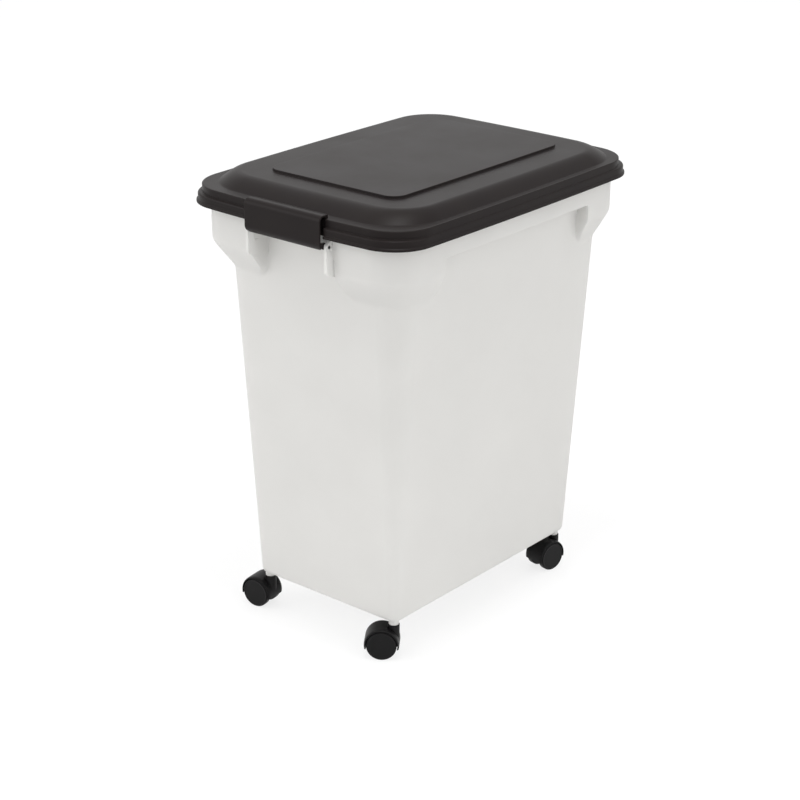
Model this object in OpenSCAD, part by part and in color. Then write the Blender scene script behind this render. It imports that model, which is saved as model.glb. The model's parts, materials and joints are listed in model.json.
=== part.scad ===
/* [Bin] */
// Thickness of the bin's moulded walls
wall = 2.4; // [1.8:0.1:3]
// Thickness of the bin's floor
floor_t = 3; // [2.5:0.1:4]
// Height of the bin's underside above the ground
ground_gap = 50; // [48:1:60]
// Width across the foot of the bin
foot_w = 229; // [222:1:240]
// Depth across the foot of the bin
foot_d = 358; // [350:1:368]
// Height of the rim above the ground
rim_z = 560; // [545:1:580]
// Width of the bin where the corners start to flare
waist_w = 279.4; // [274:0.2:284]
// Depth of the bin where the corners start to flare
waist_d = 408; // [400:1:414]
// Width of the upright band under the lid
band_w = 324; // [318:1:330]
// Depth of the upright band under the lid
band_d = 452; // [446:1:458]
// Drop from the rim to the start of the corner flares
flare_drop = 94; // [90:1:110]
// Drop from the rim to the ledge between the corner flares
ledge_drop = 42; // [40:0.5:44]
// How far the bead stands out round the rim
bead_out = 1.8; // [1:0.1:2.4]

/* [Lid] */
// Thickness of the lid's moulded walls
lid_wall = 2.4; // [1.8:0.1:3]
// How far the skirt's foot stands out beyond the sides of the bin's band
skirt_over_sides = 13.4; // [12:0.2:18]
// How far the skirt's foot stands out beyond the ends of the bin's band
skirt_over_ends = 14; // [13:0.2:18]
// How far the skirt hangs below the rim
skirt_drop = 13; // [10:0.5:16]
// Height of the flange's top above the rim
flange_rise = 9; // [8:0.5:12]
// Height of the dome above the flange
dome_rise = 13; // [8:0.5:18]
// Height of the raised panel above the dome
panel_rise = 3; // [1.5:0.5:5]
// Width of the raised panel
panel_w = 204; // [180:0.5:240]
// Depth of the raised panel
panel_d = 321; // [280:0.5:340]
// Height of the gasket's section above the rim
gasket_gap = 0.3; // [0.2:0.1:0.6]

/* [Latch] */
// Width of the latch
latch_w = 117.5; // [90:0.5:118]
// Thickness of the latch's plate
latch_t = 2.4; // [1.8:0.1:3]
// How far the latch's plate stands in front of the lid's skirt
latch_stand = 3.6; // [3:0.1:5]
// Drop from the rim to the latch's lower edge
latch_drop = 27.7; // [26:0.1:30]
// Drop from the rim to the foot of the two ribs that carry the latch
rib_drop = 56; // [52:1:60]
// Height of the latch's top above the flange
latch_over = 4.5; // [3.5:0.1:6]
// Diameter of the latch's pins
latch_pin_d = 4; // [3:0.1:4.6]

/* [Lid hinge] */
// Distance of each hinge from the middle of the back
hinge_x = 80; // [60:1:100]
// How far the hinge's axis lies behind the lid's skirt
hinge_stand = 3; // [2:0.5:5]
// Depth of the hinge's axis under the rim
hinge_drop = 7; // [6:0.5:9]
// Diameter of the hinge's pins
hinge_pin_d = 5; // [4:0.1:6]
// Length of the lid's knuckle
knuckle_l = 21; // [16:1:26]
// Thickness of each of the bin's hinge ears
ear_t = 4.5; // [3.5:0.1:6]

/* [Casters] */
// Diameter of the wheels
wheel_d = 38; // [36:0.5:40]
// Width over both wheels of a caster
caster_w = 31; // [30:0.5:36]
// Distance of the axle behind the stem
trail = 14.5; // [12:0.5:16]
// Diameter of the stem
stem_d = 8; // [7:0.1:8.4]
// Length of the stem above the socket's mouth
stem_l = 28; // [20:1:32]
// Diameter of the axle
axle_d = 5; // [4:0.1:6]
// Distance of the stems from the middle, across
stem_x = 104; // [102:0.5:105]
// Distance of the stems from the middle, front to back
stem_y = 167; // [165:0.5:168]
// How far the white sockets reach below the bin
socket_drop = 6; // [5:0.5:8]

/* [Fits] */
// Radial clearance of a pin in the piece that turns on it
pin_gap = 0.05; // [0.02:0.01:0.1]
// Gap between two pieces that pass each other
pass_gap = 0.5; // [0.3:0.1:1]

/* [Hidden] */
$fn = 64;
front_right = ["front_right", 1, -1, 216];
front_left = ["front_left", -1, -1, 187];
back_right = ["back_right", 1, 1, 260];
back_left = ["back_left", -1, 1, 215];
casters = [front_right, front_left, back_right, back_left];
caster_pieces = ["stem", "grip_ring", "hood", "axle", "left_wheel", "right_wheel"];
milky = [0.87, 0.87, 0.85];
charcoal = [0.3, 0.29, 0.3];
black = [0.13, 0.13, 0.14];
steel = [0.7, 0.7, 0.72];

// Outlines: [half width, half depth, corner radius, shift to the back, bulge of the sides, bulge of the ends]
foot_shift = 1.5;
waist_shift = 3;
band_shift = -2;
side_bulge = 3.5;
end_bulge = 5;
corner_x = 102;
corner_y = 166;
waist_z = rim_z - flare_drop;
skirt_z = rim_z - skirt_drop;
flare_h = 35;
lid_w = band_w + 2 * skirt_over_sides;
lid_d = band_d + 2 * skirt_over_ends;
foot_bevels = [[0, 5], [1.5, 1.5], [5, 0]];

// Stations round the bin: distances from the middle of a long side and of an end
side_at = [0, 70, 132, 137.5, 140, 142.5, 148, 160];
end_at = [0, 31, 57, 59.5, 66, 68.5, 75, 92];
corner_steps = 9;
lid_side_at = [0, 0.3, 0.6, 0.85];
lid_end_at = [0, 0.35, 0.7];
SIDE = 0;
ARC = 1;
END = 2;

// One quarter of the stations, from the side's middle to the end's, both middles left out
function quarter(sides, ends) = concat(
    [for (i = [1 : len(sides) - 1]) [SIDE, i, sides[i]]],
    [for (j = [0 : corner_steps]) [ARC, j, 90 * j / corner_steps]],
    [for (i = [len(ends) - 1 : -1 : 1]) [END, i, ends[i]]]
);
function signed(list, sx, sy) = [for (s = list) [s[0], s[1], s[2], sx, sy]];
function backwards(list) = [for (i = [len(list) - 1 : -1 : 0]) list[i]];
function stations(sides, ends) = let (q = quarter(sides, ends)) concat(
    [[SIDE, 0, 0, 1, 1]],
    signed(q, 1, 1),
    [[END, 0, 0, 1, 1]],
    signed(backwards(q), -1, 1),
    [[SIDE, 0, 0, -1, 1]],
    signed(q, -1, -1),
    [[END, 0, 0, 1, -1]],
    signed(backwards(q), 1, -1)
);
bin_stations = stations(side_at / corner_y, end_at / corner_x);
lid_stations = stations(lid_side_at, lid_end_at);

// Where a station lies on an outline
function on_outline(s, o) = let (
    r = o[2],
    ax = o[0] - r - o[4] * pow((o[1] - r) / o[1], 2),
    ay = o[1] - r - o[5] * pow((o[0] - r) / o[0], 2)
) s[0] == SIDE ? [s[3] * (o[0] - o[4] * pow(s[2] * ay / o[1], 2)), o[3] + s[4] * s[2] * ay]
    : s[0] == END ? [s[3] * s[2] * ax, o[3] + s[4] * (o[1] - o[5] * pow(s[2] * ax / o[0], 2))]
    : [s[3] * (ax + r * cos(s[2])), o[3] + s[4] * (ay + r * sin(s[2]))];
function inset(o, d) = [o[0] - d, o[1] - d, o[2] - d, o[3], o[4], o[5]];
function ring(st, o, z) = [for (s = st) let (p = on_outline(s, o)) [p.x, p.y, z]];

// Skins a row of rings and closes both ends with a fan
module loft(rings) {
    n = len(rings[0]);
    last = len(rings) - 1;
    middle = [[0, 0, rings[0][0].z], [0, 0, rings[last][0].z]];
    polyhedron(
        points = concat([for (r = rings) each r], middle),
        faces = concat(
            [for (i = [0 : last - 1]) for (j = [0 : n - 1]) let (k = (j + 1) % n)
                [i * n + j, (i + 1) * n + j, (i + 1) * n + k, i * n + k]],
            [for (j = [0 : n - 1]) [(last + 1) * n, j, (j + 1) % n]],
            [for (j = [0 : n - 1]) [(last + 1) * n + 1, last * n + (j + 1) % n, last * n + j]]
        )
    );
}

// Skins a closed row of rings into a hoop
module hoop(rings) {
    n = len(rings[0]);
    m = len(rings);
    polyhedron(
        points = [for (r = rings) each r],
        faces = [for (i = [0 : m - 1]) for (j = [0 : n - 1]) let (k = (j + 1) % n, u = (i + 1) % m)
            [i * n + j, u * n + j, u * n + k, i * n + k]]
    );
}

// The tapered wall at height z, and the upright band
function wall_share(z) = (z - ground_gap) / (waist_z - ground_gap);
function wall_outline(z) = let (
    u = wall_share(z),
    hx = foot_w / 2 + u * (waist_w - foot_w) / 2,
    hy = foot_d / 2 + u * (waist_d - foot_d) / 2
) [hx, hy, hx - corner_x, foot_shift + u * (waist_shift - foot_shift), 0, 0];
band = [band_w / 2, band_d / 2, band_w / 2 - corner_x - side_bulge * pow(corner_y * 2 / band_d, 2),
    band_shift, side_bulge, end_bulge];

// Flare levels: [height over the waist, first station out on the sides, on the back, on the front]
everywhere = -1;
ledge_h = flare_drop - ledge_drop;
latch_recess_h = ledge_h + 10;
flare_levels = [
    [0, 7, 6, 6],
    [7, 5, 5, 5],
    [20, 4, 4, 4],
    [flare_h, 4, 4, 4],
    [ledge_h - 1, 4, 4, 4],
    [ledge_h, 4, 3, 3],
    [ledge_h + wall, everywhere, everywhere, 3],
    [latch_recess_h, everywhere, everywhere, 3],
    [latch_recess_h + wall, everywhere, everywhere, everywhere]
];
function is_out(s, level, later) = let (first = s[0] == SIDE ? level[1] : s[4] > 0 ? level[2] : level[3])
    s[0] == ARC || first == everywhere || s[1] >= first + later;
function flare_ring(level, d, later, lift) = let (
    z = waist_z + level[0] + lift,
    t = min(1, level[0] / flare_h)
) [for (s = bin_stations) let (
    p = on_outline(s, inset(wall_outline(z), d)),
    q = on_outline(s, inset(band, d)),
    w = is_out(s, level, later) ? t : 0,
    m = p + w * (q - p)
) [m.x, m.y, z]];
function band_ring(z, d) = ring(bin_stations, inset(band, d), z);
function wall_ring(z, d) = ring(bin_stations, inset(wall_outline(z), d), z);
module bin_shell() {
    loft(concat(
        [for (b = foot_bevels) wall_ring(ground_gap + b.x, b.y)],
        [for (level = flare_levels) flare_ring(level, 0, 0, 0)],
        [band_ring(rim_z - 12, 0), band_ring(rim_z - 10.5, -bead_out), band_ring(rim_z - 2, -bead_out)],
        [band_ring(rim_z, 1 - bead_out), band_ring(rim_z, wall)],
        [for (level = backwards(flare_levels))
            flare_ring(level, wall, 1, level[0] > flare_h ? wall : wall / 2)],
        [for (b = backwards(foot_bevels)) wall_ring(ground_gap + floor_t + b.x, wall + b.y)]
    ));
}

// Sockets for the casters' stems
socket_mouth_z = ground_gap - socket_drop;
socket_r = stem_d / 2 + 0.15;
socket_tube_r = socket_r + 2.15;
boss_r = socket_tube_r + 1.3;
boss_z = ground_gap + 6;
boss_top_z = ground_gap + 30;
module at_socket(c) {
    translate([c[1] * stem_x, c[2] * stem_y, 0]) children();
}
module socket_body() {
    translate([0, 0, socket_mouth_z]) cylinder(r = socket_tube_r, h = boss_top_z - socket_mouth_z);
    translate([0, 0, boss_z]) cylinder(r = boss_r, h = boss_top_z - boss_z);
}
module socket_bore() {
    translate([0, 0, socket_mouth_z - 1]) cylinder(r = socket_r, h = stem_l + 2);
}

// Ear that stands out from the bin and carries a pin: outline in the y-z plane, out towards +x of the sketch
function tangent_at(centre, r, p) = let (v = p - centre, a = atan2(v.y, v.x) + acos(r / norm(v)))
    centre + r * [cos(a), sin(a)];
module ear(reach, r, root_low, root_high, thick, bore_r) {
    axis = [reach, 0];
    low = [0, -root_low];
    linear_extrude(thick, center = true) difference() {
        union() {
            translate(axis) circle(r);
            polygon([low, [0, root_high], [reach, r], axis, tangent_at(axis, r, low)]);
        }
        translate(axis) circle(bore_r);
    }
}

// Lid hinge at the back
hinge_z = rim_z - hinge_drop;
hinge_r = hinge_pin_d / 2 + 2.5;
ear_gap = pass_gap;
ear_offset = knuckle_l / 2 + ear_gap + ear_t / 2;
band_back = band_d / 2 + band_shift;
ear_root = 2;
hinge_y = lid_d / 2 + hinge_stand;
hinge_root = hinge_drop + 2 * hinge_pin_d;
module at_hinges() {
    for (side = [-1, 1]) translate([side * hinge_x, 0, hinge_z]) children();
}
ear_reach = hinge_y - band_back + ear_root;
module hinge_ears() {
    at_hinges() for (side = [-1, 1]) translate([side * ear_offset, band_back - ear_root, 0])
        rotate([90, 0, 90]) ear(ear_reach, hinge_r, hinge_root, hinge_r - 1, ear_t, hinge_pin_d / 2);
}

// Ribs at the front that carry the latch
latch_y = lid_d / 2 + latch_stand;
latch_low_z = rim_z - latch_drop;
latch_pivot_in = 10.6;
latch_pivot_up = 4;
latch_pivot = [-latch_y + latch_pivot_in, latch_low_z + latch_pivot_up];
latch_lug_r = latch_pin_d / 2 + 2;
latch_rib_r = latch_lug_r + 0.5;
latch_rib_x = latch_w / 2 + pass_gap;
rib_front = latch_pivot.x - latch_rib_r;
rib_foot_z = rim_z - rib_drop;
rib_foot_rise = 6;
ledge_z = rim_z - ledge_drop;
band_front = -band_d / 2 + band_shift;
rib_head = [band_front + ear_root, skirt_z - 1];
// Draws a y-z profile as a plate that is centred on x
module across(w) {
    rotate([90, 0, 90]) linear_extrude(w, center = true) children();
}
// How far to the front the middle of the wall's thickness lies at height z
function wall_front(z) = let (o = wall_outline(z)) o[3] - o[1] + wall / 2;
module latch_rib_profile() {
    difference() {
        union() {
            translate(latch_pivot) circle(latch_rib_r);
            polygon([
                latch_pivot,
                tangent_at(latch_pivot, latch_rib_r, rib_head),
                rib_head,
                [rib_head.x, ledge_z + wall / 2],
                [wall_front(ledge_z), ledge_z + wall / 2],
                [wall_front(rib_foot_z), rib_foot_z - rib_foot_rise],
                [rib_front + 2.5 * rib_foot_rise, rib_foot_z - rib_foot_rise],
                [rib_front, rib_foot_z],
                [rib_front, latch_pivot.y]
            ]);
        }
        translate(latch_pivot) circle(latch_pin_d / 2);
    }
}
module latch_ribs() {
    for (side = [-1, 1]) translate([side * (latch_rib_x + ear_t / 2), 0, 0])
        across(ear_t) latch_rib_profile();
}

module bin_body() {
    color(milky) difference() {
        union() {
            bin_shell();
            for (c = casters) at_socket(c) socket_body();
            hinge_ears();
            latch_ribs();
        }
        for (c = casters) at_socket(c) socket_bore();
    }
}

// Lid: outlines of its rings, from the bottom of the skirt up
lid_corner_r = 50;
lip_out = 1.8;
tier_step = 3;
skirt = [lid_w / 2, lid_d / 2, lid_corner_r, 0, side_bulge, end_bulge];
lower_tier = inset(skirt, lip_out);
upper_tier = inset(lower_tier, tier_step);
tier_z = rim_z - 1;
flange_z = rim_z + flange_rise;
flange_under = flange_z - lid_wall;
dome_z = flange_z + dome_rise;
panel_z = dome_z + panel_rise;
dome_foot_in = [14.4, 22.5];
dome_top_in = [34.4, 50];
dome_base = [lid_w / 2 - dome_foot_in.x, lid_d / 2 - dome_foot_in.y, 37, -4.5, side_bulge, end_bulge];
dome_top = [lid_w / 2 - dome_top_in.x, lid_d / 2 - dome_top_in.y, 26, -3, 2, 2.5];
panel_corner_r = 19;
panel = [panel_w / 2, panel_d / 2, panel_corner_r, 0, 0.6, 0.6];
dome_steps = 5;
function blend(a, b, t) = a + t * (b - a);
function lid_ring(o, z) = ring(lid_stations, o, z);
// The dome rises steeply from its foot and rounds over to level
function dome_ring(foot, top, foot_z, top_z, t) =
    lid_ring(blend(foot, top, t), foot_z + (top_z - foot_z) * sin(90 * t));
mouth_rib = inset(band, wall + 3.2);
mouth_rib_outer = inset(band, wall + 1.2);
mouth_rib_z = rim_z - 4;
module lid_shell() {
    loft(concat(
        [lid_ring(inset(panel, lid_wall), panel_z - lid_wall), lid_ring(inset(panel, 1), dome_z - lid_wall)],
        [for (i = [dome_steps : -1 : 0])
            dome_ring(mouth_rib, inset(dome_top, 1.2), flange_under, dome_z - lid_wall, i / dome_steps)],
        [lid_ring(mouth_rib, mouth_rib_z), lid_ring(mouth_rib_outer, mouth_rib_z)],
        [lid_ring(mouth_rib_outer, flange_under), lid_ring(inset(upper_tier, lid_wall), flange_under)],
        [lid_ring(inset(upper_tier, lid_wall), tier_z - lid_wall + 1.2)],
        [lid_ring(inset(lower_tier, lid_wall), tier_z - lid_wall)],
        [lid_ring(inset(lower_tier, lid_wall), skirt_z + 1)],
        [lid_ring(inset(lower_tier, lid_wall - 1), skirt_z), lid_ring(inset(skirt, 0.5), skirt_z)],
        [lid_ring(skirt, skirt_z + 0.5), lid_ring(skirt, skirt_z + 2.4)],
        [lid_ring(inset(lower_tier, -0.2), skirt_z + 3.4), lid_ring(lower_tier, tier_z - 0.8)],
        [lid_ring(inset(lower_tier, 0.8), tier_z), lid_ring(inset(upper_tier, -0.3), tier_z + 0.6)],
        [lid_ring(upper_tier, flange_z - 1.2), lid_ring(inset(upper_tier, 0.4), flange_z - 0.4)],
        [lid_ring(inset(upper_tier, 1.2), flange_z)],
        [for (i = [0 : dome_steps]) dome_ring(dome_base, dome_top, flange_z, dome_z, i / dome_steps)],
        [lid_ring(inset(panel, -0.3), dome_z), lid_ring(panel, panel_z - 0.5)],
        [lid_ring(inset(panel, 0.5), panel_z)]
    ));
}

// Keeper: the notch in the skirt that the latch closes into, and the ridge behind it
keeper_w = latch_w + 2 * (pass_gap + 1);
keeper_in = 9;
keeper_y = -(lid_d / 2 - keeper_in);
ridge_w = latch_w - 3;
ridge_t = 4;
module keeper_notch() {
    translate([-keeper_w / 2, keeper_y - lid_d, skirt_z - 1]) cube([keeper_w, lid_d, flange_z - skirt_z + 2]);
}
ridge_top_z = flange_z + latch_over - 0.5;
module keeper_ridge() {
    translate([0, keeper_y, 0]) across(ridge_w) {
        translate([0, flange_z - 1]) square([ridge_t, ridge_top_z - flange_z + 1 - ridge_t / 2]);
        translate([ridge_t / 2, ridge_top_z - ridge_t / 2]) circle(d = ridge_t);
    }
}
slot_w = ear_t + 2 * ear_gap;
slot_d = 24;
module hinge_slots() {
    at_hinges() for (side = [-1, 1])
        translate([side * ear_offset - slot_w / 2, -slot_d / 2, skirt_z - hinge_z - 1])
            cube([slot_w, slot_d, tier_z - skirt_z + 1]);
}
knuckle_root = 5;
module knuckles() {
    at_hinges() translate([-knuckle_l / 2, hinge_y, 0]) {
        rotate([0, 90, 0]) cylinder(r = hinge_r, h = knuckle_l);
        translate([0, -knuckle_root, -hinge_r]) cube([knuckle_l, knuckle_root, 2 * hinge_r]);
    }
}
module hinge_bores() {
    at_hinges() translate([0, hinge_y, 0]) rotate([0, 90, 0])
        cylinder(r = hinge_pin_d / 2 + pin_gap, h = knuckle_l + 2, center = true);
}
module lid() {
    color(charcoal) difference() {
        union() {
            difference() {
                lid_shell();
                keeper_notch();
                translate([0, hinge_y, 0]) hinge_slots();
            }
            keeper_ridge();
            knuckles();
        }
        hinge_bores();
    }
}

// Gasket between the flange and the rim
gasket_outer = inset(band, -1.6);
gasket_inner = inset(band, wall + 0.8);
module lid_gasket() {
    color(black) hoop([
        lid_ring(gasket_outer, rim_z + gasket_gap),
        lid_ring(gasket_outer, flange_under),
        lid_ring(gasket_inner, flange_under),
        lid_ring(gasket_inner, rim_z + gasket_gap)
    ]);
}

// Latch: one plate, bent over into a lip at the top and curled back at the foot, with a lug for each pin
function arc(c, r, a0, a1, n) = [for (i = [0 : n]) let (a = a0 + (a1 - a0) * i / n) c + r * [cos(a), sin(a)]];
latch_top_z = flange_z + latch_over;
latch_bend_r = 7;
latch_curl_h = 9.7;
latch_curl_r = 11.3;
latch_curl_angle = 180 + asin(latch_curl_h / latch_curl_r);
latch_corner_r = 5;
lip_end_y = keeper_y - pass_gap - 0.1;
lug_t = 5;
latch_steps = 6;
latch_curl_centre = [-latch_y + latch_curl_r, latch_low_z + latch_curl_h];
latch_bend_centre = [-latch_y + latch_bend_r, latch_top_z - latch_bend_r];
// Outline of the plate in the y-z plane, pushed in by d
function latch_side(d) = concat(
    arc(latch_curl_centre, latch_curl_r - d, latch_curl_angle, 180, latch_steps),
    arc(latch_bend_centre, latch_bend_r - d, 180, 90, latch_steps),
    [[lip_end_y, latch_top_z - d]]
);
module latch_profile() {
    polygon(concat(latch_side(0), backwards(latch_side(latch_t))));
}
module latch_lug_profile() {
    translate(latch_pivot) circle(latch_lug_r);
    polygon(concat(
        arc(latch_curl_centre, latch_curl_r - latch_t / 2, 180, latch_curl_angle - 7, latch_steps),
        [latch_pivot - [0, latch_lug_r - 0.2], latch_pivot + [0, latch_lug_r - 0.2]]
    ));
}
// The plate seen from the front: square at the top, rounded at the two lower corners
module latch_outline() {
    rotate([90, 0, 0]) linear_extrude(2 * latch_y, center = true) {
        translate([-latch_w / 2, latch_low_z + latch_corner_r]) square([latch_w, latch_top_z - latch_low_z]);
        hull() for (side = [-1, 1])
            translate([side * (latch_w / 2 - latch_corner_r), latch_low_z + latch_corner_r])
                circle(latch_corner_r);
    }
}
module latch() {
    color(charcoal) difference() {
        union() {
            intersection() {
                across(latch_w) latch_profile();
                latch_outline();
            }
            for (side = [-1, 1]) translate([side * (latch_w - lug_t) / 2, 0, 0])
                across(lug_t) latch_lug_profile();
        }
        translate([0, latch_pivot.x, latch_pivot.y]) rotate([0, 90, 0])
            cylinder(r = latch_pin_d / 2 + pin_gap, h = latch_w + 2, center = true);
    }
}
module latch_pins() {
    color(steel) for (side = [-1, 1]) translate([side * (latch_rib_x + ear_t), latch_pivot.x, latch_pivot.y])
        rotate([0, -side * 90, 0]) cylinder(d = latch_pin_d, h = ear_t + lug_t);
}
module lid_hinge_pins() {
    color(steel) at_hinges() translate([0, hinge_y, 0]) rotate([0, 90, 0])
        cylinder(d = hinge_pin_d, h = knuckle_l + 2 * (ear_gap + ear_t), center = true);
}

// Casters: each is drawn with its stem on the z axis and its axle trailing towards +x
wheel_r = wheel_d / 2;
hood_gap = 0.8;
hood_t = 2.2;
hood_edge_t = 0.8;
hood_shoulder = 5;
hood_in_r = wheel_r + hood_gap;
hood_r = hood_in_r + hood_t;
web_w = stem_d + 3.2;
wheel_w = (caster_w - web_w) / 2 - 0.6;
hood_w = caster_w - 1;
hood_end_z = wheel_r - 4.5;
collar_r = socket_tube_r + 1;
flange_t = 1.7;
flange_r = collar_r - 1.8;
collar_z = socket_mouth_z - 0.3;
stem_foot_z = wheel_r + 2;
module at_caster(c) {
    at_socket(c) rotate([0, 0, c[3]]) children();
}
module on_axle() {
    translate([trail, 0, wheel_r]) rotate([-90, 0, 0]) children();
}
stem_top_z = socket_mouth_z + stem_l;
module caster_stem(c) {
    color(steel) at_caster(c) difference() {
        union() {
            translate([0, 0, stem_foot_z]) cylinder(d = stem_d, h = stem_top_z - stem_foot_z - 1);
            translate([0, 0, stem_top_z - 1]) cylinder(d1 = stem_d, d2 = stem_d - 2, h = 1);
            translate([0, 0, socket_mouth_z - flange_t]) cylinder(r = flange_r, h = flange_t);
        }
        ring_groove();
    }
}
groove_d = stem_d - 2;
groove_h = 3;
groove_down = 8;
module ring_groove() {
    translate([0, 0, stem_top_z - groove_down]) difference() {
        cylinder(d = stem_d + 2, h = groove_h);
        translate([0, 0, -1]) cylinder(d = groove_d, h = groove_h + 2);
    }
}
module caster_grip_ring(c) {
    color(steel) at_caster(c) translate([0, 0, stem_top_z - groove_down + 0.2]) difference() {
        cylinder(r = socket_r, h = groove_h - 0.4);
        translate([0, 0, -1]) cylinder(d = groove_d + 0.1, h = groove_h + 2);
        translate([0, -0.8, -1]) cube([stem_d, 1.6, groove_h + 2]);
    }
}
// The hood's round outside: each shoulder rises from a thin edge to the hood's full thickness
function shoulder(side) = [for (a = [0 : 15 : 90])
    [hood_in_r + hood_edge_t + (hood_t - hood_edge_t) * sin(a), side * (hood_w / 2 - hood_shoulder * (1 - cos(a)))]];
module hood_outside() {
    rotate_extrude($fn = 96)
        polygon(concat([[0, -hood_w / 2]], shoulder(-1), backwards(shoulder(1)), [[0, hood_w / 2]]));
}
module caster_hood(c) {
    color(black) at_caster(c) difference() {
        union() {
            difference() {
                union() {
                    on_axle() hood_outside();
                    translate([0, 0, wheel_r]) cylinder(r = collar_r, h = collar_z - wheel_r);
                }
                on_axle() for (side = [-1, 1]) translate([0, 0, side * (web_w + caster_w) / 2])
                    cylinder(r = hood_in_r, h = caster_w, center = true);
                translate([-caster_w, -caster_w, -hood_r])
                    cube([3 * caster_w, 2 * caster_w, hood_r + hood_end_z]);
            }
            on_axle() cylinder(r = axle_d / 2 + 4, h = web_w, center = true);
        }
        translate([0, 0, stem_foot_z - 0.3]) cylinder(r = stem_d / 2 + pin_gap, h = socket_mouth_z);
        translate([0, 0, socket_mouth_z - flange_t - 0.3]) cylinder(r = flange_r + 0.3, h = flange_t + 1);
        on_axle() cylinder(d = axle_d, h = caster_w, center = true);
    }
}
axle_end = 2.2;
module caster_axle(c) {
    color(steel) at_caster(c) on_axle() cylinder(d = axle_d, h = caster_w - 2 * axle_end - 1, center = true);
}
// Wheel: solid outer disc with a raised rim, hub and an open inner side
rim_t = 3.4;
disc_t = 2.6;
hub_r = axle_d / 2 + 3;
module wheel_section() {
    bore = axle_d / 2 + pin_gap;
    difference() {
        union() {
            translate([0, 1]) square([wheel_r, wheel_w - 2]);
            square([wheel_r - 1, wheel_w]);
            for (v = [1, wheel_w - 1]) translate([wheel_r - 1, v]) circle(1);
        }
        translate([hub_r, -1]) square([wheel_r - rim_t - hub_r, wheel_w - disc_t]);
        translate([-1, -1]) square([bore + 1, wheel_w - axle_end + 1]);
        translate([-1, wheel_w - 0.8]) square([wheel_r - rim_t + 0.4, 2]);
        translate([-wheel_r, -1]) square([wheel_r, wheel_w + 2]);
    }
}
module caster_wheel(c, side) {
    color(black) at_caster(c) on_axle() scale([1, 1, side]) translate([0, 0, caster_w / 2 - wheel_w])
        rotate_extrude($fn = 96) wheel_section();
}
module caster_left_wheel(c) {
    caster_wheel(c, -1);
}
module caster_right_wheel(c) {
    caster_wheel(c, 1);
}

bin_body();
lid();
lid_gasket();
latch();
latch_pins();
lid_hinge_pins();
for (c = casters) {
    caster_stem(c);
    caster_grip_ring(c);
    caster_hood(c);
    caster_axle(c);
    caster_left_wheel(c);
    caster_right_wheel(c);
}
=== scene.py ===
import json
import math

import bmesh
import bpy
from mathutils import Matrix, Vector


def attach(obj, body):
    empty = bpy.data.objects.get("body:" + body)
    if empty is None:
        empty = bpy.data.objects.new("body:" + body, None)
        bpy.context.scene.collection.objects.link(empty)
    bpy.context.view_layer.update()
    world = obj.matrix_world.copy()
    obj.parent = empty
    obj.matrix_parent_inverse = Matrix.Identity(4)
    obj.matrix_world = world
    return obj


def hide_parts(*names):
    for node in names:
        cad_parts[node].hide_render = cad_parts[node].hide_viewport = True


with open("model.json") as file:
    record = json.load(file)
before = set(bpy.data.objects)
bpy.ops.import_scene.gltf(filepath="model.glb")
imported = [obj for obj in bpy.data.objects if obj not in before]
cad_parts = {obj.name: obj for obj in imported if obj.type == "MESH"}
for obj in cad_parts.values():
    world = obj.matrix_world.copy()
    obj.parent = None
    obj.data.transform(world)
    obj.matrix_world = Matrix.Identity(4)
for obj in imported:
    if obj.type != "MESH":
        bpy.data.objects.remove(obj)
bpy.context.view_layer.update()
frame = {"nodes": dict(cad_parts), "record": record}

MM = 0.001

# ---------------------------------------------------------------- camera

IMAGE_PX = 800
SENSOR_MM = 36.0
FOCAL_PX = 2022.45
CAMERA_AT_MM = (1525.1, -1857.9, 1230.4)
CAMERA_AZIMUTH = math.radians(39.86)
CAMERA_ELEVATION = math.radians(21.94)
CAMERA_ROLL = math.radians(0.10)


def make_camera():
    data = bpy.data.cameras.new("camera")
    data.sensor_width = SENSOR_MM
    data.lens = SENSOR_MM * FOCAL_PX / IMAGE_PX
    data.clip_end = 20.0
    camera = bpy.data.objects.new("camera", data)
    bpy.context.scene.collection.objects.link(camera)
    sin_a, cos_a = math.sin(CAMERA_AZIMUTH), math.cos(CAMERA_AZIMUTH)
    sin_e, cos_e = math.sin(CAMERA_ELEVATION), math.cos(CAMERA_ELEVATION)
    forward = Vector((-sin_a * cos_e, cos_a * cos_e, -sin_e))
    level = Vector((cos_a, sin_a, 0))
    up = level.cross(forward)
    cos_r, sin_r = math.cos(CAMERA_ROLL), math.sin(CAMERA_ROLL)
    right = cos_r * level + sin_r * up
    top = -sin_r * level + cos_r * up
    turn = Matrix((right, top, -forward)).transposed().to_4x4()
    camera.matrix_world = Matrix.Translation(Vector(CAMERA_AT_MM) * MM) @ turn
    bpy.context.scene.camera = camera


make_camera()

# ---------------------------------------------------------------- colours and materials


def srgb(code):
    """Linear colour from an sRGB hex value."""
    levels = [int(code[i:i + 2], 16) / 255 for i in (1, 3, 5)]
    return tuple(v / 12.92 if v <= 0.04045 else ((v + 0.055) / 1.055) ** 2.4 for v in levels) + (1.0,)


def add(tree, kind, settings=None, **inputs):
    """Adds a node: settings are its properties, inputs are values or (node, output) links."""
    node = tree.nodes.new(kind)
    for key, value in (settings or {}).items():
        setattr(node, key, value)
    for key, value in inputs.items():
        numbered = key[0] == "i" and key[1:].isdigit()
        socket = node.inputs[int(key[1:]) if numbered else key.replace("_", " ")]
        if isinstance(value, tuple) and isinstance(value[0], bpy.types.Node):
            tree.links.new(value[0].outputs[value[1]], socket)
        else:
            socket.default_value = value
    return node


def material(name):
    made = bpy.data.materials.new(name)
    made.use_nodes = True
    made.node_tree.nodes.clear()
    return made, made.node_tree


CLOUD_LOW, CLOUD_HIGH = 0.3, 0.7


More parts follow.
